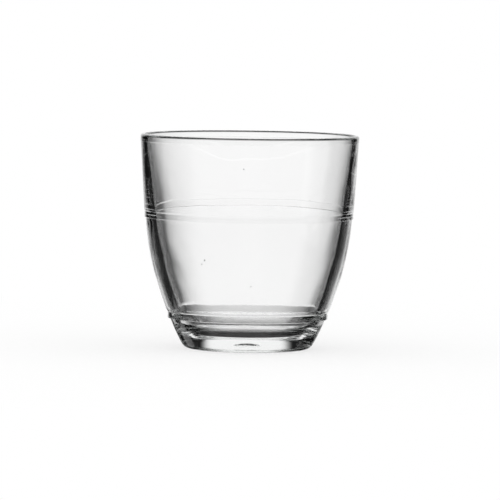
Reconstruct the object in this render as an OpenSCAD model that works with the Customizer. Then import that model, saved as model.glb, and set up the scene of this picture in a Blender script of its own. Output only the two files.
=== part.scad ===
// Clear pressed tumbler that stacks into its own kind.
// One revolved body of glass: a rounded rim, a tapered wall, two stepped bands,
// a bowl that curves in to a thick foot, and a shallow recess under it.
// The origin is the centre of the resting face, and +Z runs up the axis.

/* [Overall] */
// Height from the resting face to the top of the rim
glass_height = 76.8; // [70:0.1:84]
// Outer diameter of the rim
mouth_diameter = 78.4; // [77:0.1:86]

/* [Rim] */
// Thickness of the wall at the mouth, which the top rounds over in full
rim_wall = 1.9; // [1.5:0.1:3]
// Height of the straight collar under the rim
collar_height = 2.5; // [1.8:0.1:5]
// How far the wall below stands in from the collar
collar_step = 0.1; // [0.05:0.05:0.3]

/* [Stacking band] */
// Height of the ledge that rests on the rim of a glass below
ledge_height = 47; // [42:0.1:52]
// Height of the band above the ledge
band_height = 2.3; // [1:0.1:4]
// Outer diameter of the band
band_diameter = 74.9; // [74.4:0.1:76]
// How far the wall above stands out from the band
band_step = 0.15; // [0.05:0.05:0.4]
// How far the band stands out from the bowl, which is the width of the ledge
ledge_width = 0.4; // [0.2:0.05:0.8]

/* [Bowl] */
// Outer radius of the curve from the ledge down to the foot band
bowl_curve = 108; // [90:1:160]
// How far the bowl stands out from the foot band
bowl_step = 0.3; // [0.1:0.05:0.6]

/* [Foot] */
// Height of the lower edge of the foot band
foot_band_base = 10.9; // [9:0.1:13]
// Height of the foot band
foot_band_height = 2.4; // [1:0.1:4]
// Outer diameter of the foot band
foot_band_diameter = 57.4; // [55:0.1:60]
// How far the foot band stands out from the foot
foot_step = 0.8; // [0.2:0.05:1.2]
// Outer radius of the curve down the side of the foot
foot_curve = 60; // [35:1:120]
// Radius of the rounded edge of the foot
foot_round = 3.2; // [2:0.1:5]
// Slope of the side of the foot where it meets the rounded edge, off the axis
foot_slope = 30; // [24:0.5:34]

/* [Inside] */
// Thickness of the wall beside the ledge, where the inside begins to curve in
ledge_wall = 3.4; // [3:0.05:4.2]
// Thickness of the wall at the top of the foot band
heel_wall = 4.6; // [4:0.05:6]
// Inner radius of the curve from beside the ledge down to the heel
inner_curve = 135; // [110:1:160]
// Radius of the heel, where that curve turns into the floor
heel_round = 8; // [6:0.1:10]
// Thickness of the glass under the drink, above the resting face
floor_height = 6; // [5:0.1:8]
// Diameter of the plain round mould mark at the centre of the floor
mark_diameter = 6.8; // [4:0.1:9]
// Depth of the mould mark, whose edge slopes in by as much
mark_depth = 0.3; // [0.1:0.05:0.6]

/* [Underside] */
// Width of the flat ring that the glass rests on
ring_width = 3.2; // [1.5:0.1:6]
// Depth of the recess at the centre
recess_depth = 1.2; // [0.4:0.1:1.8]

/* [Hidden] */

// Steps round the axis
smooth = 240;
// How far a short straight step may cut inside the curve that it follows
arc_error = 0.01;

mouth_radius = mouth_diameter / 2;
lip_radius = rim_wall / 2;
lip_centre = [mouth_radius - lip_radius, glass_height - lip_radius];
collar_base = glass_height - collar_height;

band_radius = band_diameter / 2;
band_top = ledge_height + band_height;
bowl_top = [band_radius - ledge_width, ledge_height];

foot_band_radius = foot_band_diameter / 2;
foot_band_top = foot_band_base + foot_band_height;
bowl_base = [foot_band_radius + bowl_step, foot_band_top];

// The side of the foot leans further out the higher it is, and ends in the rounded edge
foot_top = [foot_band_radius - foot_step, foot_band_base];
foot_turn_height = foot_round * (1 - sin(foot_slope));
foot_top_slope = asin(sin(foot_slope) - (foot_top.y - foot_turn_height) / foot_curve);
foot_centre = foot_top - foot_curve * [cos(foot_top_slope), -sin(foot_top_slope)];
foot_round_centre = foot_centre + (foot_curve - foot_round) * [cos(foot_slope), -sin(foot_slope)];

// The straight inner wall runs up from beside the ledge and touches the rounded rim
inner_bend = bowl_top - [ledge_wall, 0];
inner_rise = lip_centre - inner_bend;
inner_draft = atan(inner_rise.x / inner_rise.y) - asin(lip_radius / norm(inner_rise));

// Its curve passes beside the top of the foot band, and the heel turns from it
// to the floor without a corner at either end
heel_side = bowl_base - [heel_wall, 0];
inner_centre = bulge_centre(heel_side, inner_bend, inner_curve);
heel_height = floor_height + heel_round;
heel_reach = sqrt(pow(inner_curve - heel_round, 2) - pow(inner_centre.y - heel_height, 2));
heel_centre = [inner_centre.x + heel_reach, heel_height];
heel_start = angle_of(heel_centre, inner_centre);

mark_rim = [mark_diameter / 2, floor_height];
mark_base = mark_rim - [mark_depth, mark_depth];

recess_radius = foot_round_centre.x - ring_width;
recess_curve = (pow(recess_radius, 2) + pow(recess_depth, 2)) / (2 * recess_depth);
recess_centre = [0, recess_depth - recess_curve];

function angle_of(point, centre) = atan2(point.y - centre.y, point.x - centre.x);

// Points along an arc, from one angle to another, with the first left out if skip is 1
function arc(centre, radius, start, end, skip = 0) =
    let (steps = ceil(abs(end - start) / acos(1 - arc_error / radius) / 2))
    [
        for (i = [skip:steps])
            let (angle = start + (end - start) * i / steps)
            centre + radius * [cos(angle), sin(angle)]
    ];

// Centre of an arc that bulges away from the axis between a low and a high point
function bulge_centre(low, high, radius) =
    let (
        span = high - low,
        inward = [-span.y, span.x] / norm(span)
    )
    (low + high) / 2 + inward * sqrt(pow(radius, 2) - pow(norm(span) / 2, 2));

// From the axis out to the resting ring
function underside() = arc(recess_centre, recess_curve, 90, acos(recess_radius / recess_curve));

// From the resting ring up to the foot band
function foot_side() = concat(
    arc(foot_round_centre, foot_round, -90, -foot_slope),
    arc(foot_centre, foot_curve, -foot_slope, -foot_top_slope, 1)
);

function foot_band() = [
    [foot_band_radius, foot_band_base],
    [foot_band_radius, foot_band_top]
];

// From the foot band up to the ledge
function bowl() =
    let (centre = bulge_centre(bowl_base, bowl_top, bowl_curve))
    arc(centre, bowl_curve, angle_of(bowl_base, centre), angle_of(bowl_top, centre));

// The ledge, the band above it and the start of the upper wall
function stacking_band() = [
    [band_radius, ledge_height],
    [band_radius, band_top],
    [band_radius + band_step, band_top]
];

function collar_and_rim() = concat(
    [[mouth_radius - collar_step, collar_base], [mouth_radius, collar_base]],
    arc(lip_centre, lip_radius, 0, 90),
    arc(lip_centre, lip_radius, 90, 180 - inner_draft, 1)
);

// From the bend in the inner wall down to the floor and in to the axis
function inside() = concat(
    arc(inner_centre, inner_curve, angle_of(inner_bend, inner_centre), heel_start),
    arc(heel_centre, heel_round, heel_start, -90, 1),
    [mark_rim, mark_base, [0, mark_base.y]]
);

module tumbler() {
    color([0.86, 0.9, 0.89, 0.35])
    rotate_extrude($fn = smooth)
    polygon(concat(
        underside(),
        foot_side(),
        foot_band(),
        bowl(),
        stacking_band(),
        collar_and_rim(),
        inside()
    ));
}

tumbler();
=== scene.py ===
"""A clear pressed tumbler on a white table, lit by white cards with dark gaps between them."""

import math
from collections import namedtuple

import bmesh
import bpy
from mathutils import Matrix, Vector


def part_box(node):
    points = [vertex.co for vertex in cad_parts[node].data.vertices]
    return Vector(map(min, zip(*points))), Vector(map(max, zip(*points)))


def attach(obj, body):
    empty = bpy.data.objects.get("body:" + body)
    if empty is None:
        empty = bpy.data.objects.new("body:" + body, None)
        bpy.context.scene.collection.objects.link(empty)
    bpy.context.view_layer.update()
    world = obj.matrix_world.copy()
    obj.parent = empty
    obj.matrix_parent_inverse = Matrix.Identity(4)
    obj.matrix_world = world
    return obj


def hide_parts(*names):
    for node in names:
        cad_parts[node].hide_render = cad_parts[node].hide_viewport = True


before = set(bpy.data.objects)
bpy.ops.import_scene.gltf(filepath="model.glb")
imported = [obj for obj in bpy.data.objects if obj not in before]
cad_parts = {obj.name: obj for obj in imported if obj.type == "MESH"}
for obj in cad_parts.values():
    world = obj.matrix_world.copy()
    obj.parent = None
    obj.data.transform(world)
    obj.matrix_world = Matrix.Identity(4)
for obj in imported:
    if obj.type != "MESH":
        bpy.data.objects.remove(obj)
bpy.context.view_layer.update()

MM = 0.001
WHITE = (1, 1, 1, 1)

# Overall sizes, from the frame
low_corner, high_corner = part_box("tumbler")
HEIGHT = high_corner.z
MOUTH_RADIUS = high_corner.x

# Rim and collar
RIM_WALL = 1.9 * MM
COLLAR_HEIGHT = 2.5 * MM
COLLAR_STEP = 0.1 * MM

# Stacking band
LEDGE_HEIGHT = 47 * MM
BAND_HEIGHT = 2.3 * MM
BAND_RADIUS = 37.45 * MM
BAND_STEP = 0.15 * MM
LEDGE_WIDTH = 0.4 * MM

# Bowl
BOWL_CURVE = 108 * MM
BOWL_STEP = 0.3 * MM

# Foot
FOOT_BAND_BASE = 10.9 * MM
FOOT_BAND_HEIGHT = 2.4 * MM
FOOT_BAND_RADIUS = 28.7 * MM
FOOT_STEP = 0.8 * MM
FOOT_CURVE = 60 * MM
FOOT_ROUND = 3.2 * MM
FOOT_SLOPE = math.radians(30)

# Inside
LEDGE_WALL = 3.4 * MM
HEEL_WALL = 4.6 * MM
INNER_CURVE = 135 * MM
HEEL_ROUND = 8 * MM
FLOOR_HEIGHT = 6 * MM
MARK_RADIUS = 3.4 * MM
MARK_DEPTH = 0.3 * MM

# Underside
RING_WIDTH = 3.2 * MM
RECESS_DEPTH = 1.2 * MM

# How far each softened corner reaches along its two sides, up to half of each
STEP_SOFTNESS = 0.15 * MM
BOWL_FILLET = 1.4 * MM
BAND_SOFTNESS = 0.5 * MM
COLLAR_SOFTNESS = 0.15 * MM
RING_SOFTNESS = 0.5 * MM
MARK_SOFTNESS = 0.05 * MM

# Places that more than one stretch of the outline needs: out from the axis, and up
QUARTER = math.pi / 2
LIP_RADIUS = RIM_WALL / 2
LIP_CENTRE = Vector((MOUTH_RADIUS - LIP_RADIUS, HEIGHT - LIP_RADIUS))
BAND_TOP = LEDGE_HEIGHT + BAND_HEIGHT
WALL_BASE = Vector((BAND_RADIUS + BAND_STEP, BAND_TOP))
BOWL_TOP = Vector((BAND_RADIUS - LEDGE_WIDTH, LEDGE_HEIGHT))
FOOT_BAND_TOP = FOOT_BAND_BASE + FOOT_BAND_HEIGHT
BOWL_BASE = Vector((FOOT_BAND_RADIUS + BOWL_STEP, FOOT_BAND_TOP))
FOOT_TOP = Vector((FOOT_BAND_RADIUS - FOOT_STEP, FOOT_BAND_BASE))

# Seeds, which are small bubbles in the wall: across the picture, towards the back, up, and radius
SEEDS = [
    (-2 * MM, -37.3 * MM, 66 * MM, 0.2 * MM),
    (21 * MM, -29.8 * MM, 55 * MM, 0.15 * MM),
    (-15.2 * MM, -30.2 * MM, 33.5 * MM, 0.25 * MM),
    (-16.2 * MM, -29.5 * MM, 32 * MM, 0.2 * MM),
    (1 * MM, -31 * MM, 24.5 * MM, 0.2 * MM),
    (25 * MM, -18.5 * MM, 24 * MM, 0.2 * MM),
]
SEED_STEPS = 16

# Fineness of the mesh
STEPS_ROUND = 360
LEAST_RADIUS = 1e-6 * MM
TURN_PER_STEP = math.radians(0.8)
LONGEST_ROW = 3 * MM
CORNER_STEPS = 6

# Glass
IOR = 1.52
ABSORPTION_COLOUR = (0.72, 0.8, 0.77)
ABSORPTION_PER_METRE = 2.0

# Slight waves of the moulded faces, and finer wrinkles low down where the glass chilled first
WAVES_PER_METRE = 70
WAVE_HEIGHT = 0.05 * MM
WRINKLES_PER_METRE = 420
WRINKLE_HEIGHT = 0.006 * MM
WRINKLES_FULL_BELOW = 9 * MM
WRINKLES_END_ABOVE = 24 * MM

# Stipples in the floor's mark
STIPPLES_PER_METRE = 1800
STIPPLE_HEIGHT = 0.1 * MM

# Scuffs on the resting ring
WEAR_TOP = 0.25 * MM
WEAR_ROUGHNESS = 0.25
SCUFFS_PER_METRE = 900

# The photograph's viewing angle
CAMERA_DISTANCE = 1.8
CAMERA_HEIGHT = 0.146
CAMERA_ASIDE = 0.55 * MM
CAMERA_PITCH = math.radians(3.518)
CAMERA_ROLL = math.radians(0.75)
SENSOR_WIDTH_MM = 36
LENS_MM = 361.9
CLIP_FACTOR = 10

# How often light may turn in the glass
BOUNCES = 32

# Table, which lies a hair under the glass so that they share no face
FLOOR_RADIUS = 0.25
FLOOR_STEPS = 128
FLOOR_GAP = 0.02 * MM
SHADOW_STRENGTH = 0.3

# Studio. A panel is a soft-edged patch of the surroundings, laid over the ones before it. Its
# azimuth is counted from straight behind the glass towards +X, and all its angles are in degrees.
ROOM_LEVEL = 0.004
Panel = namedtuple("Panel", "azimuth half_width side_edge low high low_edge high_edge level")
PANELS = {
    "ceiling": Panel(0, 180, 1, 68, 90, 10, 1, 0.95),
    "behind the camera": Panel(185, 55, 40, -39, -8, 22, 14, 0.98),
    "left side": Panel(-92, 15, 6, -13, 3, 5, 4, 0.95),
    "low front left": Panel(-45, 8, 5, -32, -22, 4, 4, 0.7),
    "low rear right": Panel(135, 20, 8, -34, -11, 8, 8, 0.95),
    "high back": Panel(0, 27, 30, 36, 58, 12, 27, 0.9),
    "right gap": Panel(44, 8, 13, -48, 16, 2, 13, 0.015),
    "left gap": Panel(-42, 8, 15, -21, 27, 2, 15, 0.015),
    "upper backlight": Panel(1, 20, 13, 3, 36, 5, 14, 1),
    "lower backlight": Panel(3, 5, 17, -10, 0, 20, 3, 0.95),
    "backlight": Panel(2, 15, 14, -5, 25, 5, 32, 1),
}


def flat(point, other):
    """A straight piece of the outline: its length, and its place and direction at a share of it."""
    run = other - point
    return run.length, lambda share: (point + run * share, run.normalized())


def arc(centre, radius, start, end):
    """A round piece of the outline, between two angles, as flat() gives a straight one."""
    turn = end - start

    def at(share):
        angle = start + turn * share
        spoke = Vector((math.cos(angle), math.sin(angle)))
        along = Vector((-spoke.y, spoke.x)) * math.copysign(1, turn)
        return centre + spoke * radius, along

    return abs(turn) * radius, at


def angle_of(point, centre):
    return math.atan2(point.y - centre.y, point.x - centre.x)


def bulge_centre(low, high, radius):
    """The centre of an arc that bulges away from the axis between a low and a high point."""
    span = high - low
    inward = Vector((-span.y, span.x)).normalized()
    return (low + high) / 2 + inward * math.sqrt(radius ** 2 - (span.length / 2) ** 2)


def leaning(angle):
    """The direction out and down from an arc's centre, at an angle below the level."""
    return Vector((math.cos(angle), -math.sin(angle)))


def samples(piece, from_length, to_length):
    """Rows along a piece, close enough together for its turn. A row is a place and a direction."""
    length, at = piece
    first, last = from_length / length, to_length / length
    turn = at(first)[1].angle(at(last)[1], 0)
    steps = math.ceil(max(turn / TURN_PER_STEP, (to_length - from_length) / LONGEST_ROW))
    return [at(first + (last - first) * i / max(steps, 1)) for i in range(steps + 1)]


def softened(start, corner, end):
    """A small parabola that turns a corner."""
    rows = []
    for i in range(1, CORNER_STEPS):
        t = i / CORNER_STEPS
        place = start * (1 - t) ** 2 + corner * 2 * t * (1 - t) + end * t ** 2
        along = (corner - start) * (1 - t) + (end - corner) * t
        rows.append((place, along.normalized()))
    return rows


# The stretches of the outline, in turn. Each piece comes with how far its last corner is softened.

def foot():
    """From the axis under the foot out to the resting ring, and up the side to the foot band."""
    turn_height = FOOT_ROUND * (1 - math.sin(FOOT_SLOPE))
    top_slope = math.asin(math.sin(FOOT_SLOPE) - (FOOT_TOP.y - turn_height) / FOOT_CURVE)
    side_centre = FOOT_TOP - leaning(top_slope) * FOOT_CURVE
    round_centre = side_centre + leaning(FOOT_SLOPE) * (FOOT_CURVE - FOOT_ROUND)
    ring_outside = Vector((round_centre.x, 0))
    ring_inside = ring_outside - Vector((RING_WIDTH, 0))
    recess_curve = (ring_inside.x ** 2 + RECESS_DEPTH ** 2) / (2 * RECESS_DEPTH)
    recess_centre = Vector((0, RECESS_DEPTH - recess_curve))
    recess_end = math.acos(ring_inside.x / recess_curve)
    return [
        (arc(recess_centre, recess_curve, QUARTER, recess_end), RING_SOFTNESS),
        (flat(ring_inside, ring_outside), 0),
        (arc(round_centre, FOOT_ROUND, -QUARTER, -FOOT_SLOPE), 0),
        (arc(side_centre, FOOT_CURVE, -FOOT_SLOPE, -top_slope), STEP_SOFTNESS),
    ]


def bands_and_bowl():
    """Out and up over the foot band, the bowl and the stacking band, to the foot of the wall."""
    foot_band_low = Vector((FOOT_BAND_RADIUS, FOOT_BAND_BASE))
    foot_band_high = Vector((FOOT_BAND_RADIUS, FOOT_BAND_TOP))
    bowl_centre = bulge_centre(BOWL_BASE, BOWL_TOP, BOWL_CURVE)
    bowl_angles = angle_of(BOWL_BASE, bowl_centre), angle_of(BOWL_TOP, bowl_centre)
    ledge_edge = Vector((BAND_RADIUS, LEDGE_HEIGHT))
    band_edge = Vector((BAND_RADIUS, BAND_TOP))
    return [
        (flat(FOOT_TOP, foot_band_low), STEP_SOFTNESS),
        (flat(foot_band_low, foot_band_high), STEP_SOFTNESS),
        (flat(foot_band_high, BOWL_BASE), BOWL_FILLET),
        (arc(bowl_centre, BOWL_CURVE, *bowl_angles), STEP_SOFTNESS),
        (flat(BOWL_TOP, ledge_edge), STEP_SOFTNESS),
        (flat(ledge_edge, band_edge), BAND_SOFTNESS),
        (flat(band_edge, WALL_BASE), BAND_SOFTNESS),
    ]


def wall_and_collar():
    """Up the wall and the collar, to where the rim begins to round over."""
    wall_top = Vector((MOUTH_RADIUS - COLLAR_STEP, HEIGHT - COLLAR_HEIGHT))
    collar_low = Vector((MOUTH_RADIUS, HEIGHT - COLLAR_HEIGHT))
    collar_high = Vector((MOUTH_RADIUS, LIP_CENTRE.y))
    return [
        (flat(WALL_BASE, wall_top), COLLAR_SOFTNESS),
        (flat(wall_top, collar_low), COLLAR_SOFTNESS),
        (flat(collar_low, collar_high), 0),
    ]


def rim_and_inside():
    """Over the rim, down the inside and in along the floor to the axis."""
    bend = BOWL_TOP - Vector((LEDGE_WALL, 0))
    rise = LIP_CENTRE - bend
    draft = math.atan(rise.x / rise.y) - math.asin(LIP_RADIUS / rise.length)
    lip_end = LIP_CENTRE - leaning(draft) * LIP_RADIUS
    heel_side = BOWL_BASE - Vector((HEEL_WALL, 0))
    inner_centre = bulge_centre(heel_side, bend, INNER_CURVE)
    heel_height = FLOOR_HEIGHT + HEEL_ROUND
    heel_reach = math.sqrt((INNER_CURVE - HEEL_ROUND) ** 2 - (inner_centre.y - heel_height) ** 2)
    heel_centre = Vector((inner_centre.x + heel_reach, heel_height))
    heel_start = angle_of(heel_centre, inner_centre)
    heel_end = Vector((heel_centre.x, FLOOR_HEIGHT))
    mark_rim = Vector((MARK_RADIUS, FLOOR_HEIGHT))
    mark_base = mark_rim - Vector((MARK_DEPTH, MARK_DEPTH))
    return [
        (arc(LIP_CENTRE, LIP_RADIUS, 0, math.pi - draft), 0),
        (flat(lip_end, bend), 0),
        (arc(inner_centre, INNER_CURVE, angle_of(bend, inner_centre), heel_start), 0),
        (arc(heel_centre, HEEL_ROUND, heel_start, -QUARTER), 0),
        (flat(heel_end, mark_rim), MARK_SOFTNESS),
        (flat(mark_rim, mark_base), MARK_SOFTNESS),
        (flat(mark_base, Vector((0, mark_base.y))), 0),
    ]


def outline():
    """Rows from the axis under the foot, up the outside and down the inside."""
    pieces = foot() + bands_and_bowl() + wall_and_collar() + rim_and_inside()
    rows, before = [], 0
    for i, (piece, softness) in enumerate(pieces):
        length, at = piece
        stretch = samples(piece, before, length - min(softness, length / 2))
        rows += stretch if before or not rows else stretch[1:]
        before = 0
        if softness:
            next_length, next_at = pieces[i + 1][0]
            before = min(softness, next_length / 2)
            rows += softened(stretch[-1][0], at(1)[0], next_at(before / next_length)[0])
    return rows


def hollow(centre, radius):
    """A round bubble, whose faces and normals point in at the air: vertices, normals and faces."""
    bm = bmesh.new()
    bmesh.ops.create_uvsphere(bm, u_segments=SEED_STEPS, v_segments=SEED_STEPS // 2, radius=radius)
    bmesh.ops.reverse_faces(bm, faces=bm.faces)
    vertices = [tuple(centre + v.co) for v in bm.verts]
    normals = [tuple(-v.co.normalized()) for v in bm.verts]
    faces = [tuple(v.index for v in face.verts) for face in bm.faces]
    bm.free()
    return vertices, normals, faces


def revolved(rows):
    """A body of revolution, closed on the axis at both ends: vertices, exact normals and faces."""
    vertices, normals, faces = [], [], []

    def ring(row):
        place, along = row
        start = len(vertices)
        if place.x < LEAST_RADIUS:
            vertices.append((0, 0, place.y))
            normals.append((0, 0, -along.x))
            return [start] * STEPS_ROUND
        for i in range(STEPS_ROUND):
            turn = 2 * math.pi * i / STEPS_ROUND
            c, s = math.cos(turn), math.sin(turn)
            vertices.append((place.x * c, place.x * s, place.y))
            normals.append((along.y * c, along.y * s, -along.x))
        return list(range(start, start + STEPS_ROUND))

    below = ring(rows[0])
    for row in rows[1:]:
        above = ring(row)
        for i in range(STEPS_ROUND):
            j = (i + 1) % STEPS_ROUND
            corners = [below[i], below[j], above[j], above[i]]
            faces.append(tuple(dict.fromkeys(corners)))
        below = above
    return vertices, normals, faces


def solid(name, shells):
    """One object from closed shells, each given as its vertices, normals and faces."""
    vertices, normals, faces = [], [], []
    for shell_vertices, shell_normals, shell_faces in shells:
        start = len(vertices)
        vertices += shell_vertices
        normals += shell_normals
        faces += [tuple(start + i for i in face) for face in shell_faces]
    mesh = bpy.data.meshes.new(name)
    mesh.from_pydata(vertices, [], faces)
    mesh.polygons.foreach_set("use_smooth", [True] * len(mesh.polygons))
    mesh.normals_split_custom_set_from_vertices(normals)
    mesh.validate()
    piece = bpy.data.objects.new(name, mesh)
    bpy.context.scene.collection.objects.link(piece)
    return piece


class Graph:
    """Short ways to add nodes to one node tree. A value is a number or another node's output."""

    def __init__(self, tree):
        self.nodes, self.links = tree.nodes, tree.links

    def put(self, node, name, value):
        if isinstance(value, (int, float, tuple)):
            node.inputs[name].default_value = value
        else:
            self.links.new(value, node.inputs[name])

    def calculate(self, operation, *values):
        node = self.nodes.new("ShaderNodeMath")
        node.operation = operation
        for i, value in enumerate(values):
            self.put(node, i, value)
        return node.outputs["Value"]

    def fade(self, value, none, full):
        """0 at none and 1 at full, with a soft step between them"""
        node = self.nodes.new("ShaderNodeMapRange")
        node.interpolation_type = "SMOOTHSTEP"
        self.put(node, "Value", value)
        self.put(node, "From Min", none)
        self.put(node, "From Max", full)
        return node.outputs["Result"]

    def noise(self, place, scale, detail):
        """Soft random values from -1 to 1"""
        node = self.nodes.new("ShaderNodeTexNoise")
        self.put(node, "Vector", place)
        self.put(node, "Scale", scale)
        self.put(node, "Detail", detail)
        return self.calculate("MULTIPLY_ADD", node.outputs["Fac"], 2, -1)

    def by_glass(self):
        """1 for what is mirrored in glass or seen through it, and 0 for the rest"""
        path = self.nodes.new("ShaderNodeLightPath")
        return self.calculate("MAXIMUM", path.outputs["Is Glossy Ray"], path.outputs["Is Transmission Ray"])

    def parts(self, vector):
        node = self.nodes.new("ShaderNodeSeparateXYZ")
        self.put(node, "Vector", vector)
        return (node.outputs[name] for name in "XYZ")


def glass_material():
    """Clear glass, slightly wavy, wrinkled low down, stippled in the mark and scuffed where it rests."""
    material = bpy.data.materials.new("clear_glass")
    material.use_nodes = True
    graph = Graph(material.node_tree)
    nodes = material.node_tree.nodes
    shader = nodes["Principled BSDF"]
    graph.put(shader, "Base Color", WHITE)
    graph.put(shader, "Transmission Weight", 1)
    graph.put(shader, "IOR", IOR)

    place = nodes.new("ShaderNodeTexCoord").outputs["Object"]
    x, y, z = graph.parts(place)
    waves = graph.calculate("MULTIPLY", graph.noise(place, WAVES_PER_METRE, detail=1), WAVE_HEIGHT)
    low_down = graph.fade(z, WRINKLES_END_ABOVE, WRINKLES_FULL_BELOW)
    wrinkles = graph.calculate("MULTIPLY", graph.noise(place, WRINKLES_PER_METRE, detail=2), WRINKLE_HEIGHT)
    wavy = graph.calculate("MULTIPLY_ADD", wrinkles, low_down, waves)
    squares = (graph.calculate("MULTIPLY", value, value) for value in (x, y))
    off_axis = graph.calculate("SQRT", graph.calculate("ADD", *squares))
    near_axis = graph.fade(off_axis, MARK_RADIUS, MARK_RADIUS - MARK_DEPTH)
    on_floor = graph.fade(z, RECESS_DEPTH, FLOOR_HEIGHT - MARK_DEPTH)
    in_mark = graph.calculate("MULTIPLY", near_axis, on_floor)
    stipples = graph.calculate("MULTIPLY", graph.noise(place, STIPPLES_PER_METRE, detail=0), STIPPLE_HEIGHT)
    bump = nodes.new("ShaderNodeBump")
    graph.put(bump, "Distance", 1)
    graph.put(bump, "Height", graph.calculate("MULTIPLY_ADD", stipples, in_mark, wavy))
    graph.put(shader, "Normal", bump.outputs["Normal"])

    ring = graph.fade(z, WEAR_TOP, 0)
    scuffs = graph.calculate("MAXIMUM", graph.noise(place, SCUFFS_PER_METRE, detail=3), 0)
    worn = graph.calculate("MULTIPLY", ring, scuffs)
    graph.put(shader, "Roughness", graph.calculate("MULTIPLY", worn, WEAR_ROUGHNESS))

    absorption = nodes.new("ShaderNodeVolumeAbsorption")
    graph.put(absorption, "Color", (*ABSORPTION_COLOUR, 1))
    graph.put(absorption, "Density", ABSORPTION_PER_METRE)
    graph.put(nodes["Material Output"], "Volume", absorption.outputs["Volume"])
    return material


def floor():
    """A white table with a faint shadow. Glass and reflections see past it to the studio's light."""
    mesh = bpy.data.meshes.new("floor")
    bm = bmesh.new()
    bmesh.ops.create_circle(bm, cap_ends=True, segments=FLOOR_STEPS, radius=FLOOR_RADIUS)
    bm.to_mesh(mesh)
    bm.free()
    table = bpy.data.objects.new("floor", mesh)
    table.location.z = low_corner.z - FLOOR_GAP
    bpy.context.scene.collection.objects.link(table)
    material = bpy.data.materials.new("floor")
    material.use_nodes = True
    graph = Graph(material.node_tree)
    nodes = material.node_tree.nodes
    nodes.remove(nodes["Principled BSDF"])
    path = nodes.new("ShaderNodeLightPath")

    def mixed(share, first, second):
        mix = nodes.new("ShaderNodeMixShader")
        graph.put(mix, "Fac", share)
        graph.put(mix, 1, first)
        graph.put(mix, 2, second)
        return mix.outputs["Shader"]

    matt = nodes.new("ShaderNodeBsdfDiffuse")
    graph.put(matt, "Color", WHITE)
    white = nodes.new("ShaderNodeEmission")
    clear = nodes.new("ShaderNodeBsdfTransparent")
    whitened = graph.calculate("MULTIPLY", path.outputs["Is Camera Ray"], 1 - SHADOW_STRENGTH)
    table_top = mixed(whitened, matt.outputs["BSDF"], white.outputs["Emission"])
    graph.put(nodes["Material Output"], "Surface", mixed(graph.by_glass(), table_top, clear.outputs["BSDF"]))
    mesh.materials.append(material)


def studio():
    """White all round for the camera and for plain light, and the panels for what glass shows."""
    world = bpy.data.worlds.new("studio")
    bpy.context.scene.world = world
    world.use_nodes = True
    graph = Graph(world.node_tree)
    nodes = world.node_tree.nodes

    x, y, z = graph.parts(nodes.new("ShaderNodeTexCoord").outputs["Generated"])
    azimuth = graph.calculate("DEGREES", graph.calculate("ARCTAN2", x, y))
    elevation = graph.calculate("DEGREES", graph.calculate("ARCSINE", z))

    def laid_over(level, panel):
        turn = graph.calculate("WRAP", graph.calculate("SUBTRACT", azimuth, panel.azimuth), 180, -180)
        aside = graph.calculate("ABSOLUTE", turn)
        across = graph.fade(aside, panel.half_width + panel.side_edge, panel.half_width)
        above = graph.fade(elevation, panel.low - panel.low_edge, panel.low)
        below = graph.fade(elevation, panel.high + panel.high_edge, panel.high)
        share = graph.calculate("MULTIPLY", across, graph.calculate("MULTIPLY", above, below))
        return graph.calculate("MULTIPLY_ADD", share, graph.calculate("SUBTRACT", panel.level, level), level)

    level = ROOM_LEVEL
    for panel in PANELS.values():
        level = laid_over(level, panel)

    dimming = graph.calculate("MULTIPLY", graph.by_glass(), graph.calculate("SUBTRACT", 1, level))
    background = nodes["Background"]
    graph.put(background, "Color", WHITE)
    graph.put(background, "Strength", graph.calculate("SUBTRACT", 1, dimming))


def camera():
    data = bpy.data.cameras.new("camera")
    data.sensor_width = SENSOR_WIDTH_MM
    data.lens = LENS_MM
    data.clip_start = CAMERA_DISTANCE / CLIP_FACTOR
    data.clip_end = CAMERA_DISTANCE * CLIP_FACTOR
    eye = bpy.data.objects.new("camera", data)
    eye.matrix_world = (
        Matrix.Translation((CAMERA_ASIDE, -CAMERA_DISTANCE, CAMERA_HEIGHT))
        @ Matrix.Rotation(QUARTER - CAMERA_PITCH, 4, "X")
        @ Matrix.Rotation(CAMERA_ROLL, 4, "Z")
    )
    bpy.context.scene.collection.objects.link(eye)
    bpy.context.scene.camera = eye


scene = bpy.context.scene
scene.view_settings.view_transform = "Standard"
scene.cycles.max_bounces = BOUNCES
scene.cycles.glossy_bounces = BOUNCES
scene.cycles.transmission_bounces = BOUNCES

camera()
bubbles = [hollow(Vector((x, y, z)), radius) for x, y, z, radius in SEEDS]
glass = solid("glass", [revolved(outline())] + bubbles)
glass.data.materials.append(glass_material())
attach(glass, "root")
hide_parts("tumbler")
floor()
studio()
